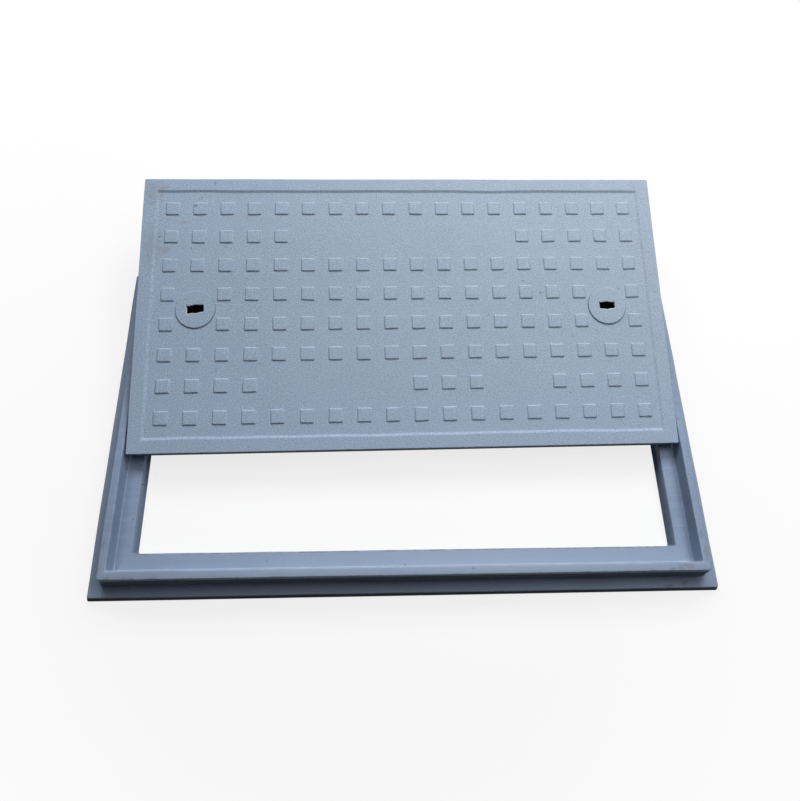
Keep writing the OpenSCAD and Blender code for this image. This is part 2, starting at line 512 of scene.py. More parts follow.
def raise_studs(piece):
    """Cuts the field along the studs' sides and raises one stud in each cell that has one."""
    for axis, count, place_of in ((0, COLUMNS, column_x), (1, ROWS, row_y)):
        for step in range(1, count + 1):
            for side in (-1, 1):
                pick_faces(piece, in_field)
                cut_across(axis, place_of(step) + side * STUD_FOOT / 2)
    places = stud_places()

    def in_stud(middle, normal):
        if not in_field(middle, normal):
            return False
        return any((middle.xy - place).length < STUD_FOOT / 4 for place in places)

    pick_faces(piece, in_stud)
    step_in(STUD_DRAFT, STUD_LEVEL - FIELD_LEVEL, each=True)


def shape_underside(piece):
    """Draws the rim down, steps in to the body and opens the bays between the ribs."""
    pick_edges(piece, lambda e: e.is_boundary)
    extrude_rim(SEAT_RISE, COVER_TOP, COVER_FOOT)
    extrude_rim(0, COVER_FOOT, BODY_ROOT)
    extrude_rim(BODY_DEPTH, BODY_ROOT, BODY_FOOT)
    bpy.ops.mesh.edge_face_add()
    bpy.ops.mesh.select_all(action="SELECT")
    bpy.ops.mesh.normals_make_consistent(inside=False)
    room = [2 * (half - BODY_WALL) for half in BODY_ROOT]
    pitch = [(room[i] + RIB) / BAYS[i] for i in (0, 1)]
    size = [pitch[i] - RIB for i in (0, 1)]
    centres = [[(n - (BAYS[i] - 1) / 2) * pitch[i] for n in range(BAYS[i])] for i in (0, 1)]

    def on_foot(middle, normal):
        return abs(middle.z + BODY_DEPTH) < EPS and normal.z < -0.9

    for axis in (0, 1):
        for centre in centres[axis]:
            for side in (-1, 1):
                pick_faces(piece, on_foot)
                cut_across(axis, centre + side * size[axis] / 2)

    def in_bay(middle, normal):
        if not on_foot(middle, normal):
            return False
        in_x = any(abs(middle.x - c) < size[0] / 4 for c in centres[0])
        in_y = any(abs(middle.y - c) < size[1] / 4 for c in centres[1])
        return in_x and in_y

    pick_faces(piece, in_bay)
    step_in(BAY_DRAFT, -(PLATE_UNDER + BODY_DEPTH), each=True)


def round_cover(piece):
    """Rounds the cover's corners, its rim, the border and every stud."""
    def above_field(e):
        return edge_middle(e).z > FIELD_LEVEL + EPS

    def in_border(e):
        spot = edge_middle(e)
        return abs(spot.x) < COVER_TOP[0] - 10 * MM and abs(spot.y) < COVER_TOP[1] - 10 * MM

    def corner_of_rim(e):
        spot = edge_middle(e)
        low = min(v.co.z for v in e.verts)
        return climbs(e) and low > -EPS and abs(spot.x) > BODY_ROOT[0] + 10 * MM and not in_border(e)

    def corner_of_stud(e):
        return climbs(e) and sharp(e) and above_field(e) and in_border(e)

    def on_border_line(e):
        spot = edge_middle(e)
        gaps = [abs(abs(spot[i]) - (COVER_TOP[i] - BORDER_WIDTH)) for i in (0, 1)]
        return in_border(e) and min(gaps) < 1 * MM

    # Which edges, their radius and segments
    groups = [
        (corner_of_rim, COVER_CORNER, 4),
        (corner_of_stud, STUD_CORNER, 2),
        (lambda e: at_level(e, SEAT_RISE) and sharp(e) and not in_border(e), 1.8 * MM, 3),
        (lambda e: at_level(e, SEAT_RISE) and sharp(e) and on_border_line(e), 2 * MM, 4),
        (lambda e: at_level(e, STUD_LEVEL) and sharp(e), 1.5 * MM, 3),
        (lambda e: at_level(e, FIELD_LEVEL) and sharp(e), 0.9 * MM, 3),
        (lambda e: at_level(e, 0) and sharp(e), 1 * MM, 2),
    ]
    for test, radius, segments in groups:
        pick_edges(piece, test)
        round_off(radius, segments)


def cut_top(piece):
    """Cuts the top through the studs and between them, so that the long lines can waver."""
    def on_top(middle, normal):
        return middle.z > FIELD_LEVEL - 1 * MM

    for axis, count, place_of, pitch in ((0, COLUMNS, column_x, PITCH_X), (1, ROWS, row_y, PITCH_Y)):
        for half_step in range(2 * count + 1):
            pick_faces(piece, on_top)
            cut_across(axis, place_of(0.5) + half_step * pitch / 2)


def straighten_front(piece):
    """Sets the rim's front face almost upright, as it shows in the photo as a thin dark line."""
    fade = 4 * MM
    for vertex in piece.data.vertices:
        if -1 * MM < vertex.co.z < 2 * MM and abs(vertex.co.x) < COVER_FOOT[0] + 1 * MM:
            share = min(1.0, max(0.0, (-vertex.co.y - COVER_FOOT[1] + fade) / fade))
            vertex.co.y -= FRONT_PULL * share


def waver_top(piece):
    """Lets the border's inner line and the studs waver a little, as hand-laid moulding does."""
    field_half = [half - BORDER_WIDTH - BORDER_SLOPE / 2 for half in COVER_TOP]
    margin = 6 * MM
    for vertex in piece.data.vertices:
        if vertex.co.z < FIELD_LEVEL - 1 * MM:
            continue
        spot = vertex.co
        in_field_x = abs(spot.x) < field_half[0] - margin
        in_field_y = abs(spot.y) < field_half[1] - margin
        if in_field_x and in_field_y:
            place = spot * STUD_PATTERN
            vertex.co.x += noise.noise(place + Vector((5, 2, 0))) * STUD_WAVER
            vertex.co.y += noise.noise(place + Vector((9, 6, 3))) * STUD_WAVER
            continue
        near_y = abs(abs(spot.y) - field_half[1]) < margin and abs(spot.x) < field_half[0] + margin
        near_x = abs(abs(spot.x) - field_half[0]) < margin and abs(spot.y) < field_half[1] + margin
        if near_y:
            side = 4 if spot.y > 0 else 9
            along = Vector((spot.x * LINE_PATTERN, side, 0))
            vertex.co.y += noise.noise(along) * LONG_LINE_WAVER
        if near_x:
            side = 14 if spot.x > 0 else 19
            along = Vector((side, spot.y * LINE_PATTERN, 0))
            vertex.co.x += noise.noise(along) * SHORT_LINE_WAVER


# The key sockets

def key_socket(name, side):
    """A raised disc with a rough-edged key slot, over the cup that the key turns in."""
    middle = (side * DISC_X, 0)
    disc_under = SEAT_RISE - DISC_SEAT - RELIEF
    cup_bottom = SEAT_RISE - LIP - CHAMBER_DEPTH - CUP_FLOOR
    piece = add_rod(name, DISC_DIAMETER, disc_under, SEAT_RISE, middle)
    edit()
    pick_edges(piece, lambda e: at_level(e, SEAT_RISE) and sharp(e))
    round_off(DISC_EDGE, 4)
    leave_edit()
    cup = add_rod("cup", CUP_DIAMETER, cup_bottom, SEAT_RISE - 1 * MM, middle)
    combine(piece, cup, "UNION")
    combine(piece, slot_shape(side), "DIFFERENCE")
    edit()
    pick_edges(piece, lambda e: at_level(e, SEAT_RISE) and near_slot(e, side))
    round_off(SLOT_EDGE, 2)
    leave_edit()
    chamber = add_rod("chamber", CHAMBER_DIAMETER, cup_bottom + CUP_FLOOR, SEAT_RISE - LIP, middle)
    combine(piece, chamber, "DIFFERENCE")
    lay_on_frame(piece)
    smooth_by_angle(piece)
    return piece


def near_slot(edge, side):
    """True for the sharp edges around the slot in a disc."""
    reach = [math.hypot(v.co.x - side * DISC_X, v.co.y) for v in edge.verts]
    return sharp(edge) and max(reach) < SLOT_LENGTH * 0.75


def slot_shape(side):
    """The slot as a solid, with the broken outline that it has in the photo."""
    outline = LEFT_SLOT if side < 0 else RIGHT_SLOT
    deselect()
    low = SEAT_RISE - LIP - 2 * MM
    bpy.ops.mesh.primitive_circle_add(
        vertices=len(outline),
        radius=SLOT_LENGTH / 2,
        fill_type="NGON",
        location=(0, 0, 0),
    )
    tool = named("slot")
    for vertex, spot in zip(tool.data.vertices, outline):
        vertex.co = (side * DISC_X + spot[0] * MM, spot[1] * MM, low)
    edit()
    bpy.ops.mesh.select_all(action="SELECT")
    rise = SEAT_RISE + 2 * MM - low
    bpy.ops.mesh.extrude_region_move(TRANSFORM_OT_translate={"value": (0, 0, rise)})
    bpy.ops.mesh.select_all(action="SELECT")
    bpy.ops.mesh.normals_make_consistent(inside=False)
    leave_edit()
    return tool


# Finishes

class Finish:
    """A small builder for one procedural material."""

    def __init__(self, name):
        self.material = bpy.data.materials.new(name)
        self.material.use_nodes = True
        self.tree = self.material.node_tree
        self.shader = self.tree.nodes["Principled BSDF"]
        self.coords = self.tree.nodes.new("ShaderNodeTexCoord").outputs["Object"]

    def link(self, source, target):
        self.tree.links.new(source, target)

    def place(self, matrix):
        """Coordinates counted from a placing, such as the cover's own."""
        node = self.tree.nodes.new("ShaderNodeMapping")
        node.vector_type = "TEXTURE"
        node.inputs["Location"].default_value = matrix.to_translation()
        node.inputs["Rotation"].default_value = matrix.to_euler()
        self.link(self.coords, node.inputs["Vector"])
        return node.outputs["Vector"]

    def stretch(self, coords, scale):
        node = self.tree.nodes.new("ShaderNodeMapping")
        node.inputs["Scale"].default_value = scale
        self.link(coords, node.inputs["Vector"])
        return node.outputs["Vector"]

    def parts(self, coords):
        """The three coordinates one by one."""
        node = self.tree.nodes.new("ShaderNodeSeparateXYZ")
        self.link(coords, node.inputs[0])
        return node.outputs[0], node.outputs[1], node.outputs[2]

    def noise(self, coords, scale, detail=3.0, roughness=0.55):
        node = self.tree.nodes.new("ShaderNodeTexNoise")
        node.inputs["Scale"].default_value = scale
        node.inputs["Detail"].default_value = detail
        node.inputs["Roughness"].default_value = roughness
        self.link(coords, node.inputs["Vector"])
        return node.outputs["Fac"]

    def spread(self, value, low, high, to_low=0.0, to_high=1.0):
        node = self.tree.nodes.new("ShaderNodeMapRange")
        node.inputs["From Min"].default_value = low
        node.inputs["From Max"].default_value = high
        node.inputs["To Min"].default_value = to_low
        node.inputs["To Max"].default_value = to_high
        self.link(value, node.inputs["Value"])
        return node.outputs["Result"]

    def math(self, operation, first, second=0.0):
        node = self.tree.nodes.new("ShaderNodeMath")
        node.operation = operation
        for socket, value in zip(node.inputs, (first, second)):
            if isinstance(value, (int, float)):
                socket.default_value = value
            else:
                self.link(value, socket)
        return node.outputs["Value"]

    def times(self, *factors):
        result = factors[0]
        for factor in factors[1:]:
            result = self.math("MULTIPLY", result, factor)
        return result

    def mix(self, factor, first, second):
        node = self.tree.nodes.new("ShaderNodeMix")
        node.data_type = "RGBA"
        colour_inputs = [s for s in node.inputs if s.type == "RGBA"]
        if isinstance(factor, float):
            node.inputs[0].default_value = factor
        else:
            self.link(factor, node.inputs[0])
        for socket, value in zip(colour_inputs, (first, second)):
            if isinstance(value, tuple):
                socket.default_value = (*value, 1)
            else:
                self.link(value, socket)
        return [s for s in node.outputs if s.type == "RGBA"][0]

    def dots(self, coords, spacing, radius, share):
        """Flat round dots, one in a share of the cells of a random pattern."""
        node = self.tree.nodes.new("ShaderNodeTexVoronoi")
        node.voronoi_dimensions = "2D"
        node.inputs["Scale"].default_value = 1 / spacing
        self.link(coords, node.inputs["Vector"])
        near = self.spread(node.outputs["Distance"], radius / spacing, 1.6 * radius / spacing, 1, 0)
        pick = self.tree.nodes.new("ShaderNodeSeparateColor")
        self.link(node.outputs["Color"], pick.inputs[0])
        return self.times(near, self.spread(pick.outputs[0], 1 - share, 1.02 - share))

    def spot(self, coords, place, radius, rough, soft=0.6):
        """1 within a spot of a ragged outline, seen from above, and 0 outside it."""
        offset = self.tree.nodes.new("ShaderNodeVectorMath")
        offset.operation = "SUBTRACT"
        self.link(coords, offset.inputs[0])
        offset.inputs[1].default_value = (place[0] * MM, place[1] * MM, 0)
        flat = self.tree.nodes.new("ShaderNodeVectorMath")
        flat.operation = "MULTIPLY"
        self.link(offset.outputs["Vector"], flat.inputs[0])
        flat.inputs[1].default_value = (1 / radius[0] / MM, 1 / radius[1] / MM, 0)
        length = self.tree.nodes.new("ShaderNodeVectorMath")
        length.operation = "LENGTH"
        self.link(flat.outputs["Vector"], length.inputs[0])
        ragged = self.math("ADD", length.outputs["Value"], self.spread(rough, 0.3, 0.7, -0.5, 0.5))
        return self.spread(ragged, 1 - soft, 1 + soft / 3, 1, 0)

    def outline(self, along, across, half):
        """How far a point lies outside a rectangle, seen from above."""
        over_x = self.math("SUBTRACT", self.math("ABSOLUTE", along), half[0])
        over_y = self.math("SUBTRACT", self.math("ABSOLUTE", across), half[1])
        return self.math("MAXIMUM", over_x, over_y)

    def band(self, value, low, high, soft):
        """1 between two values, fading over a soft edge."""
        rise = self.spread(value, low - soft, low)
        fall = self.spread(value, high, high + soft, 1, 0)
        return self.times(rise, fall)

    def bump(self, height, strength, distance):
        node = self.tree.nodes.new("ShaderNodeBump")
        node.inputs["Strength"].default_value = strength
        node.inputs["Distance"].default_value = distance
        self.link(height, node.inputs["Height"])
        return node

    def finish(self, colour, roughness, bump, specular):
        self.shader.inputs["Specular IOR Level"].default_value = specular
        self.link(colour, self.shader.inputs["Base Color"])
        self.link(roughness, self.shader.inputs["Roughness"])
        self.link(bump.outputs["Normal"], self.shader.inputs["Normal"])
        return self.material


COVER_BLUE = (0.318, 0.397, 0.497)
COVER_DEEP = (0.272, 0.345, 0.443)
COVER_PALE = (0.365, 0.440, 0.535)
COVER_PAINTED_SHADE = (0.250, 0.337, 0.465)
COVER_PAINTED_FRONT_SHADE = (0.326, 0.424, 0.580)
GRAIN_PALE = (0.455, 0.530, 0.615)
GRAIN_DEEP = (0.205, 0.270, 0.365)
GRAIN_WHITE = (0.60, 0.67, 0.73)
DARK_GRAIN_AND_PAINTED_SHADE = (0.045, 0.055, 0.08)
SOIL_GREY = (0.225, 0.250, 0.280)
FRAME_BLUE = (0.240, 0.315, 0.445)
FRAME_DEEP_AND_PAINTED_SHADE = (0.205, 0.272, 0.395)
FRAME_PALE_AND_PAINTED_LIGHT = (0.310, 0.385, 0.515)
RAIL_PAINTED_LIGHT = (0.330, 0.412, 0.545)
LEDGE_PAINTED_SHADE = (0.150, 0.200, 0.290)
WEAR_AND_HIGHLIGHT_PALE = (0.56, 0.63, 0.70)
DIRT_BROWN = (0.150, 0.135, 0.120)
RESIN_AND_HIGHLIGHT_PALE = (0.62, 0.66, 0.68)
CUP_PAINTED_SHADE = (0.012, 0.012, 0.014)

# From where to where painted shade grows across the cover, towards its left and its front, and where
# the painted light on the frame's front rail lies and fades towards its ends
SHADY_SIDE = (150 * MM, -480 * MM)
NEAR_SIDE = (50 * MM, -250 * MM)
FRONT_RAIL = (-185 * MM, -235 * MM)
RAIL_ENDS = (150 * MM, 450 * MM)

# Dark specks on the cover: place and half size in millimetres, from the cover's middle
SPECKS = [
    ((222, 49), (1.8, 1.4)),
    ((252, 26), (2.4, 1.4)),
    ((154, -14), (1.6, 1.5)),
    ((208, -13), (1.6, 1.5)),
    ((400, 33), (1.6, 1.4)),
    ((468, 25), (1.5, 1.8)),
    ((292, -160), (1.8, 1.6)),
    ((-446, 139), (2.2, 2.2)),
    ((-325, 119), (1.8, 1.6)),
    ((-388, 117), (1.6, 1.4)),
    ((-334, -112), (1.6, 1.6)),
    ((-349, 246), (1.4, 3.0)),
    ((-383, 200), (3.2, 3.0)),
    ((-467, 217), (1.6, 1.6)),
]
# Faint scuffs and soiled patches on the cover
SCUFFS = [
    ((-440, 237), (10, 3)),
    ((-401, 168), (9, 3)),
    ((-373, 217), (3, 8)),
    ((-436, 113), (12, 9)),
    ((-462, 228), (22, 26)),
    ((-458, 120), (18, 40)),
    ((-392, 14), (5, 4)),
    ((-390, 3), (6, 3)),
]
# Marks on the discs, from the middle of each disc
LEFT_DISC_MARKS = [((-16, 18), (5, 1.4)), ((-21, 4.5), (4, 2.6))]
RIGHT_DISC_MARKS = [((-7.5, 10), (3, 1.2))]
# Brown-grey smudges on the frame, from the frame's middle
SMUDGES = [
    ((458, -262), (12, 5)),
    ((443, -265), (7, 4)),
    ((488, -214), (4, 8)),
    ((490, -240), (4, 14)),
    ((430, -267), (6, 3)),
    ((462, -286), (7, 4)),
    ((434, -291), (8, 3)),
    ((-491, -216), (3, 9)),
    ((-478, -268), (6, 3)),
    ((-452, -268), (5, 2)),
    ((-440, -268), (5, 2)),
]


def base_coat(finish, local):
    """The cover's blue-grey coat with its soft clouds."""
    patches = finish.noise(local, 7, 3, 0.5)
    colour = finish.mix(finish.spread(patches, 0.3, 0.7, 0.0, 0.45), COVER_BLUE, COVER_DEEP)
    clouds = finish.noise(local, 75, 3, 0.6)
    return finish.mix(finish.spread(clouds, 0.4, 0.7, 0.0, 0.45), colour, COVER_PALE)


def add_grain(finish, colour, local):
    """Lays the sand-like grain of light and dark over a coat."""
    grain = finish.noise(local, 430, 2, 0.6)
    colour = finish.mix(finish.spread(grain, 0.50, 0.72, 0.0, 0.75), colour, GRAIN_PALE)
    colour = finish.mix(finish.spread(grain, 0.50, 0.28, 0.0, 0.65), colour, GRAIN_DEEP)
    white = finish.dots(local, 7 * MM, 0.5 * MM, 0.16)
    colour = finish.mix(finish.times(white, 0.45), colour, GRAIN_WHITE)
    dark = finish.dots(local, 16 * MM, 0.6 * MM, 0.26)
    colour = finish.mix(finish.times(dark, 0.45), colour, DARK_GRAIN_AND_PAINTED_SHADE)
    return colour, grain


def marked(finish, colour, local, places, shade, strength, noise_scale):
    """Lays a list of ragged spots over a colour."""
    edge = finish.noise(local, noise_scale, 3, 0.6)
    for place, radius in places:
        mask = finish.spot(local, place, radius, edge)
        colour = finish.mix(finish.times(mask, strength), colour, shade)
    return colour


def cover_finish():
    finish = Finish("cover_gelcoat")
    local = finish.place(COVER_PLACING)
    colour = base_coat(finish, local)
    along, across, level = finish.parts(local)
    # Painted shade: the coat grows darker and bluer towards the cover's left side.
    to_the_left = finish.spread(along, *SHADY_SIDE, 0.0, 0.85)
    colour = finish.mix(to_the_left, colour, COVER_PAINTED_SHADE)
    # Painted shade tint: the coat turns bluer towards the cover's front.
    to_the_front = finish.spread(across, *NEAR_SIDE, 0.0, 0.8)
    colour = finish.mix(to_the_front, colour, COVER_PAINTED_FRONT_SHADE)
    colour, grain = add_grain(finish, colour, local)
    colour = marked(finish, colour, local, SCUFFS, SOIL_GREY, 0.42, 160)
    colour = marked(finish, colour, local, SPECKS, DARK_GRAIN_AND_PAINTED_SHADE, 0.62, 500)
    # Painted shade: the rim's front face and the sides below the rim are darkened towards black,
    # most at the front.
    at_front = finish.spread(across, -COVER_FOOT[1] + 5 * MM, -COVER_FOOT[1] + 1 * MM)
    front_side = finish.spread(level, SEAT_RISE - 1.2 * MM, SEAT_RISE - 3.2 * MM)
    front_side = finish.times(front_side, at_front)
    below_rim = finish.spread(level, SEAT_RISE - 2.6 * MM, SEAT_RISE - 6 * MM)
    below_rim = finish.math("MAXIMUM", below_rim, front_side)
    below_rim = finish.times(below_rim, finish.spread(level, -1 * MM, 0))
    darkened = finish.times(below_rim, finish.spread(at_front, 0, 1, 0.35, 1))
    colour = finish.mix(darkened, colour, DARK_GRAIN_AND_PAINTED_SHADE)
    roughness = finish.spread(finish.noise(local, 60), 0.3, 0.7, 0.62, 0.76)
    roughness = finish.math("MAXIMUM", roughness, finish.times(below_rim, 0.95))
    bump = finish.bump(grain, 0.30, 0.4 * MM)
    return finish.finish(colour, roughness, bump, 0.3)


def socket_finish(side):
    """The cover's coat with painted shade on the left disc, a pale edge round the slot that is chips
    in the resin and a painted highlight, and a cup painted nearly black as shade.
    """
    finish = Finish("socket_gelcoat_left" if side < 0 else "socket_gelcoat_right")
    local = finish.place(COVER_PLACING @ Matrix.Translation((side * DISC_X, 0, 0)))
    # Painted shade, strong on the left disc and faint on the right, as on the cover's left side.
    colour = finish.mix(0.75 if side < 0 else 0.1, base_coat(finish, local), COVER_PAINTED_SHADE)
    colour, grain = add_grain(finish, colour, local)
    along, across, level = finish.parts(local)
    outside = finish.outline(along, across, (SLOT_LENGTH / 2, SLOT_WIDTH / 2))
    lip_side = finish.spread(level, SEAT_RISE - 0.05 * MM, SEAT_RISE - 0.3 * MM)
    lip_foot = finish.spread(level, SEAT_RISE - 2.6 * MM, SEAT_RISE - 1.9 * MM)
    # Pale rim round the slot: chips in the resin, with a painted highlight that is strongest along
    # the slot's front edge.
    slot_lip = finish.times(lip_side, lip_foot, finish.spread(outside, 4 * MM, 5 * MM, 1, 0))
    ragged = finish.noise(local, 190, 3, 0.6)
    towards_front = finish.spread(across, -4 * MM, 1 * MM, 0.9, 0.2)
    chips_and_highlight = finish.times(slot_lip, towards_front, finish.spread(ragged, 0.35, 0.55, 0.5, 1))
    colour = finish.mix(chips_and_highlight, colour, RESIN_AND_HIGHLIGHT_PALE)
    scraped = LEFT_DISC_MARKS if side < 0 else RIGHT_DISC_MARKS
    colour = marked(finish, colour, local, scraped, SOIL_GREY, 0.5, 300)
    # Painted shade: the slot's walls deeper than about 2 mm and the cup below the lip are made
    # nearly black.
    deep = finish.spread(level, SEAT_RISE - 1.8 * MM, SEAT_RISE - 2.6 * MM)
    inside = finish.spread(outside, 3 * MM, 4 * MM, 1, 0)
    colour = finish.mix(finish.times(deep, inside), colour, CUP_PAINTED_SHADE)
    below = finish.spread(level, SEAT_RISE - LIP + 1 * MM, SEAT_RISE - LIP - 1 * MM)
    colour = finish.mix(below, colour, CUP_PAINTED_SHADE)
    roughness = finish.spread(finish.noise(local, 60), 0.3, 0.7, 0.6, 0.72)
    bump = finish.bump(grain, 0.25, 0.3 * MM)
    return finish.finish(colour, roughness, bump, 0.3)


def frame_finish():
    """A smoother, deeper blue coat with wear along the edges, chips and smudges, painted light on
    the front rail and flange, painted shade on the front wall, flange edge, crest and ledge foot,
    and painted highlights along the rebate's edges.
    """
    finish = Finish("frame_gelcoat")
    local = finish.place(Matrix.Translation((0, FRAME_Y, 0)))
    along, across, level = finish.parts(local)
    crest, mouth, foot, opening = rail_outlines(finish, along, across)
    patches = finish.noise(local, 7, 4, 0.55)
    colour = finish.mix(finish.spread(patches, 0.3, 0.7), FRAME_DEEP_AND_PAINTED_SHADE, FRAME_BLUE)
    outer_side = finish.spread(crest, 0.5 * MM, 1.5 * MM)
    opening_side = finish.spread(opening, 0, -1.5 * MM)
    hidden_sides = finish.math("MAXIMUM", outer_side, opening_side)
    on_rail = finish.spread(hidden_sides, 0, 1, 1, 0)
    from_middle = finish.math("ABSOLUTE", along)
    # Painted light: the front rail's top and ledge are lighter, fading towards its ends.
    front_rail = finish.times(finish.spread(across, *FRONT_RAIL), on_rail)
    to_the_ends = finish.spread(from_middle, *RAIL_ENDS, 0.8, 0.3)
    colour = finish.mix(finish.times(front_rail, to_the_ends), colour, RAIL_PAINTED_LIGHT)
    above_flange = finish.math("SUBTRACT", level, FLANGE_THICKNESS)
    # Painted light on the flange's top and the foot of the outer wall, all round.
    on_flange = finish.times(outer_side, finish.spread(above_flange, 1.5 * MM, 0.5 * MM, 0.5, 1))
    low_down = finish.spread(above_flange, 6 * MM, 2 * MM)
    colour = finish.mix(finish.times(on_flange, low_down, 0.8), colour, FRAME_PALE_AND_PAINTED_LIGHT)
    # Painted shade on the ledge next to the foot of the rebate wall.
    inner_foot = rail_sizes()[2][0]
    ledge_foot_painted_shade = finish.times(finish.spread(from_middle, inner_foot - 16 * MM, inner_foot - 3 * MM),
                         finish.spread(level, LEDGE_HEIGHT + 5 * MM, LEDGE_HEIGHT + 2 * MM),
                         finish.spread(foot, 0, 1.5 * MM, 1, 0))
    colour = finish.mix(finish.times(ledge_foot_painted_shade, 0.5), colour, LEDGE_PAINTED_SHADE)
    # Painted shade: the front outer wall and the flange's front edge are darkened towards black.
    front_line = rail_sizes()[0][1]
    at_front = finish.spread(across, 4 * MM - front_line, -front_line)
    front_side = finish.times(outer_side, at_front)
    wall_side = finish.spread(above_flange, 1 * MM, 3 * MM)
    at_edge = finish.spread(across, 3 * MM - FRAME_HALF_Y, -FRAME_HALF_Y)
    edge_side = finish.times(at_edge, finish.spread(above_flange, -1 * MM, -3 * MM))
    upright = finish.times(front_side, finish.math("MAXIMUM", wall_side, edge_side))
    colour = finish.mix(finish.times(upright, 0.8), colour, DARK_GRAIN_AND_PAINTED_SHADE)
    # Painted shade towards the outer edge of the front rail's top.
    crest_edge = finish.times(front_rail, finish.spread(crest, -7 * MM, 0, 0, 0.5))
    colour = finish.mix(crest_edge, colour, FRAME_DEEP_AND_PAINTED_SHADE)
    streaks = finish.noise(finish.stretch(local, (5, 45, 45)), 3, 4, 0.6)
    colour = finish.mix(finish.spread(streaks, 0.45, 0.75, 0.0, 0.4), colour, FRAME_PALE_AND_PAINTED_LIGHT)
    grain = finish.noise(local, 420, 2, 0.6)
    colour = finish.mix(finish.spread(grain, 0.55, 0.75, 0.0, 0.25), colour, FRAME_PALE_AND_PAINTED_LIGHT)
    colour = finish.mix(finish.spread(grain, 0.45, 0.25, 0.0, 0.25), colour, FRAME_DEEP_AND_PAINTED_SHADE)
    colour = wear_and_highlight_lines(finish, colour, local, across, level, (crest, mouth, foot, opening))
    colour = corner_scrapes(finish, colour, local, along, across, level, foot)
    colour = marked(finish, colour, local, SMUDGES, DIRT_BROWN, 0.4, 220)
    dark = finish.dots(local, 55 * MM, 0.9 * MM, 0.4)
    colour = finish.mix(finish.times(dark, 0.6), colour, DARK_GRAIN_AND_PAINTED_SHADE)
    # Painted shade on the flange's outer edge below its top, all round.
    flange_edge_painted_shade = finish.times(outer_side, finish.spread(above_flange, -1 * MM, -5 * MM), 0.5)
    colour = finish.mix(flange_edge_painted_shade, colour, DARK_GRAIN_AND_PAINTED_SHADE)
    roughness = finish.spread(patches, 0.3, 0.7, 0.36, 0.52)
    roughness = finish.math("MAXIMUM", roughness, finish.times(hidden_sides, 0.95))
    bump = finish.bump(finish.noise(local, 120, 3), 0.12, 0.4 * MM)
    return finish.finish(colour, roughness, bump, 0.2)


def rail_sizes():
    """Half sizes of the rails' lines: outer top edge, rebate's mouth and foot, opening."""
    crest = ring_sizes()[2]
    mouth = tuple(half - UPSTAND_WIDTH for half in crest)
    foot = tuple(half - DRAFT for half in mouth)
    opening = tuple(half - LEDGE_WIDTH for half in foot)
    return crest, mouth, foot, opening


def rail_outlines(finish, along, across):
    """How far a point lies outside each line of the rails, seen from above."""
    return [finish.outline(along, across, half) for half in rail_sizes()]


def wear_and_highlight_lines(finish, colour, local, across, level, outlines):
    """Pale wear with a painted highlight along the rebate's edges, brown chips and stains along the
    sharp ones.
    """
    past_crest, past_mouth, past_foot, past_opening = outlines
    flat = finish.stretch(local, (1, 1, 0))
    patchy = finish.noise(flat, 38, 4, 0.65)
    high = finish.spread(level, FRAME_HEIGHT - 6 * MM, FRAME_HEIGHT - 3 * MM)
    not_high = finish.spread(level, LEDGE_HEIGHT + 7 * MM, LEDGE_HEIGHT + 4 * MM)
    # Pale wear and a painted highlight along the upstand's inner top edge.
    mouth_line = finish.times(finish.band(past_mouth, -0.5 * MM, 1.2 * MM, 1.6 * MM), high)
    worn_and_highlit = finish.times(mouth_line, finish.spread(patchy, 0.42, 0.72, 0.0, 0.30))
    colour = finish.mix(worn_and_highlit, colour, WEAR_AND_HIGHLIGHT_PALE)
    # Pale wear and a painted highlight along the foot of the rebate wall.
    foot_line = finish.times(finish.band(past_foot, -1.6 * MM, 0.0, 1.2 * MM), not_high)
    worn_and_highlit = finish.times(foot_line, finish.spread(patchy, 0.45, 0.70, 0.10, 0.28))
    colour = finish.mix(worn_and_highlit, colour, WEAR_AND_HIGHLIGHT_PALE)
    near_crest = finish.times(finish.band(past_crest, -1.6 * MM, 1.2 * MM, 0.8 * MM), high)
    broken = finish.spread(finish.noise(flat, 95, 4, 0.7), 0.58, 0.66)
    colour = finish.mix(finish.times(near_crest, broken, 0.5), colour, DIRT_BROWN)
    rim = finish.times(finish.band(past_opening, -1.5 * MM, 1.6 * MM, 0.8 * MM),
                       finish.spread(level, LEDGE_HEIGHT - 5 * MM, LEDGE_HEIGHT - 3 * MM))
    opening_front = -rail_sizes()[3][1]
    at_front = finish.spread(across, opening_front + 6 * MM, opening_front + 2 * MM)
    stained = finish.times(rim, at_front, finish.spread(patchy, 0.42, 0.60), 0.6)
    return finish.mix(stained, colour, DIRT_BROWN)


def corner_scrapes(finish, colour, local, along, across, level, past_foot):
    """Fine pale scrapes on the ledge in the corners of the rebate."""
    foot = rail_sizes()[2]
    fine = finish.noise(local, 240, 3, 0.6)
    not_high = finish.spread(level, LEDGE_HEIGHT + 7 * MM, LEDGE_HEIGHT + 4 * MM)
    shifted = finish.math("ADD", finish.math("ABSOLUTE", across), foot[0] - foot[1])
    corner = finish.math("MINIMUM", finish.math("ABSOLUTE", along), shifted)
    in_corner = finish.spread(corner, foot[0] - 18 * MM, foot[0] - 4 * MM)
    in_rebate = finish.spread(past_foot, 1 * MM, 2 * MM, 1, 0)
    scraped = finish.times(in_corner, in_rebate, not_high, finish.spread(fine, 0.55, 0.70), 0.4)
    return finish.mix(scraped, colour, WEAR_AND_HIGHLIGHT_PALE)


# The stage

CAMERA_PLACE = (-0.0752, -0.4343, 1.2101)
CAMERA_AIM = (-0.0086, 0.0932, 0.04)
CAMERA_ROLL = math.radians(6.66)
CAMERA_LENS = 30.72
CAMERA_SHIFT = (0.0, -0.088)
SENSOR_WIDTH = 36

# The floor, as the camera sees it and as it throws light back on the object
FLOOR_SIZE = 16
FLOOR_LEVEL = -0.2 * MM
FLOOR_SEEN = (0.9, 0.9, 0.9, 1)
FLOOR_THROWN = (0.04, 0.04, 0.04, 1)

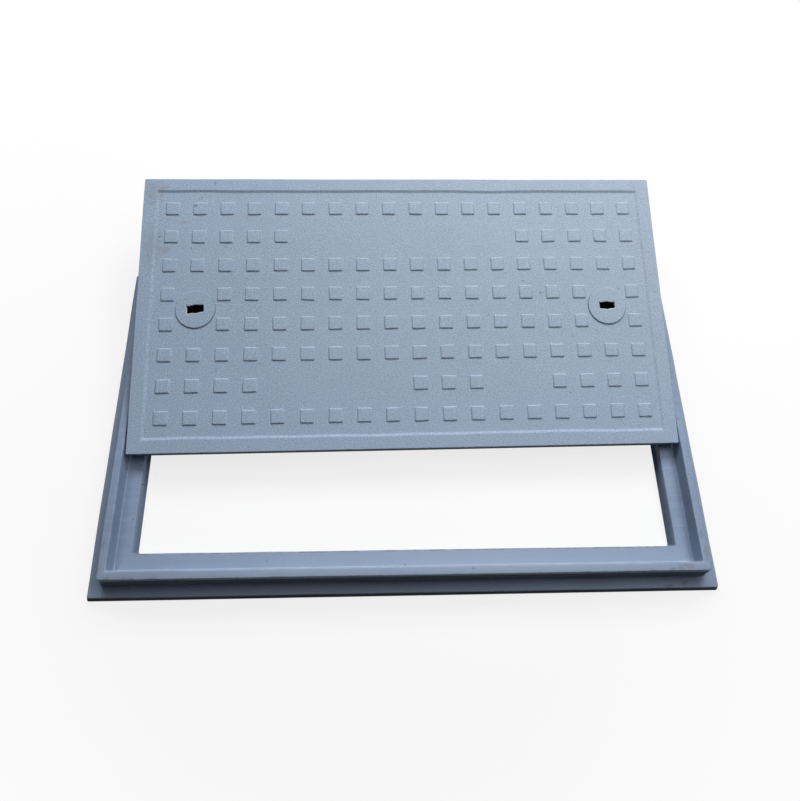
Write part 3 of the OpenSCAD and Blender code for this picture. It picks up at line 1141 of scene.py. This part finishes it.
# Over which distance the floor's shadow fades out, and how much of it is whitened near by
SHADOW_REACH = (0.55, 1.1)
NEAR_WHITENESS = 0.8

# The dim light that the room gives all round
ROOM_TINT = (0.92, 0.96, 1.0, 1)
ROOM_LIGHT = 0.02


def add_camera():
    data = bpy.data.cameras.new("camera")
    data.lens = CAMERA_LENS
    data.sensor_width = SENSOR_WIDTH
    data.shift_x, data.shift_y = CAMERA_SHIFT
    data.clip_start = 0.02
    camera = bpy.data.objects.new("camera", data)
    bpy.context.collection.objects.link(camera)
    aim = Vector(CAMERA_AIM) - Vector(CAMERA_PLACE)
    turn = aim.to_track_quat("-Z", "Y").to_matrix().to_4x4()
    roll = Matrix.Rotation(CAMERA_ROLL, 4, "Z")
    camera.matrix_world = Matrix.Translation(CAMERA_PLACE) @ turn @ roll
    bpy.context.scene.camera = camera


def background_rays(tree):
    """1 for the rays that should meet a white room: seen, mirrored or passed through."""
    rays = tree.nodes.new("ShaderNodeLightPath")
    result = rays.outputs["Is Camera Ray"]
    for name in ("Is Glossy Ray", "Is Transmission Ray"):
        larger = tree.nodes.new("ShaderNodeMath")
        larger.operation = "MAXIMUM"
        tree.links.new(result, larger.inputs[0])
        tree.links.new(rays.outputs[name], larger.inputs[1])
        result = larger.outputs[0]
    return result


def mix_shaders(tree, share, first, second, output):
    """Shows the second shader by a share and the first one for the rest."""
    both = tree.nodes.new("ShaderNodeMixShader")
    tree.links.new(share, both.inputs[0])
    tree.links.new(first.outputs[0], both.inputs[1])
    tree.links.new(second.outputs[0], both.inputs[2])
    tree.links.new(both.outputs[0], tree.nodes[output].inputs["Surface"])


def add_floor():
    """A white floor that keeps the shadow near the object but throws little light back."""
    deselect()
    bpy.ops.mesh.primitive_plane_add(size=FLOOR_SIZE, location=(0, 0, FLOOR_LEVEL))
    floor = named("floor")
    material = bpy.data.materials.new("floor_paint")
    material.use_nodes = True
    tree = material.node_tree
    shader = tree.nodes["Principled BSDF"]
    shader.inputs["Roughness"].default_value = 1.0
    shader.inputs["Specular IOR Level"].default_value = 0.0
    seen = background_rays(tree)
    paint = tree.nodes.new("ShaderNodeMix")
    paint.data_type = "RGBA"
    colours = [s for s in paint.inputs if s.type == "RGBA"]
    colours[0].default_value = FLOOR_THROWN
    colours[1].default_value = FLOOR_SEEN
    tree.links.new(seen, paint.inputs[0])
    tree.links.new([s for s in paint.outputs if s.type == "RGBA"][0], shader.inputs["Base Color"])
    coords = tree.nodes.new("ShaderNodeTexCoord")
    away = tree.nodes.new("ShaderNodeVectorMath")
    away.operation = "LENGTH"
    tree.links.new(coords.outputs["Object"], away.inputs[0])
    fade = tree.nodes.new("ShaderNodeMapRange")
    fade.inputs["From Min"].default_value = SHADOW_REACH[0]
    fade.inputs["From Max"].default_value = SHADOW_REACH[1]
    fade.inputs["To Min"].default_value = NEAR_WHITENESS
    fade.inputs["To Max"].default_value = 1.0
    tree.links.new(away.outputs["Value"], fade.inputs["Value"])
    share = tree.nodes.new("ShaderNodeMath")
    share.operation = "MULTIPLY"
    tree.links.new(seen, share.inputs[0])
    tree.links.new(fade.outputs["Result"], share.inputs[1])
    white = tree.nodes.new("ShaderNodeEmission")
    white.inputs["Strength"].default_value = 1.0
    mix_shaders(tree, share.outputs[0], shader, white, "Material Output")
    floor.data.materials.append(material)


def add_lamp(name, place, aim, size, power):
    data = bpy.data.lights.new(name, "AREA")
    data.shape = "RECTANGLE"
    data.size, data.size_y = size
    data.energy = power
    lamp = bpy.data.objects.new(name, data)
    bpy.context.collection.objects.link(lamp)
    way = Vector(aim) - Vector(place)
    turn = way.to_track_quat("-Z", "Y").to_matrix().to_4x4()
    lamp.matrix_world = Matrix.Translation(place) @ turn
    lamp.visible_camera = False


def add_lights():
    add_lamp("window_behind", place=(0.1, 1.6, 1.7), aim=(0, 0, 0.05), size=(3.2, 0.9), power=62)
    add_lamp("ceiling", place=(0.9, 0.4, 2.0), aim=(0.3, 0, 0), size=(1.4, 0.8), power=18.5)
    world = bpy.data.worlds.new("room")
    bpy.context.scene.world = world
    world.use_nodes = True
    tree = world.node_tree
    shade = tree.nodes["Background"]
    shade.inputs["Color"].default_value = ROOM_TINT
    shade.inputs["Strength"].default_value = ROOM_LIGHT
    white = tree.nodes.new("ShaderNodeBackground")
    white.inputs["Color"].default_value = (1, 1, 1, 1)
    white.inputs["Strength"].default_value = 1.0
    mix_shaders(tree, background_rays(tree), shade, white, "World Output")


def dress(piece, material, node):
    """Gives a piece its finish, hangs it on the root body and hides the part that it takes the place
    of.
    """
    piece.data.materials.clear()
    piece.data.materials.append(material)
    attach(piece, "root")
    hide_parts(node)


def build():
    dress(frame_moulding(), frame_finish(), "frame")
    dress(cover_moulding(), cover_finish(), "cover")
    dress(key_socket("key_disc_left", -1), socket_finish(-1), "key_socket_left")
    dress(key_socket("key_disc_right", 1), socket_finish(1), "key_socket_right")
    add_floor()
    add_lights()
    add_camera()
    bpy.context.scene.view_settings.view_transform = "Standard"


build()
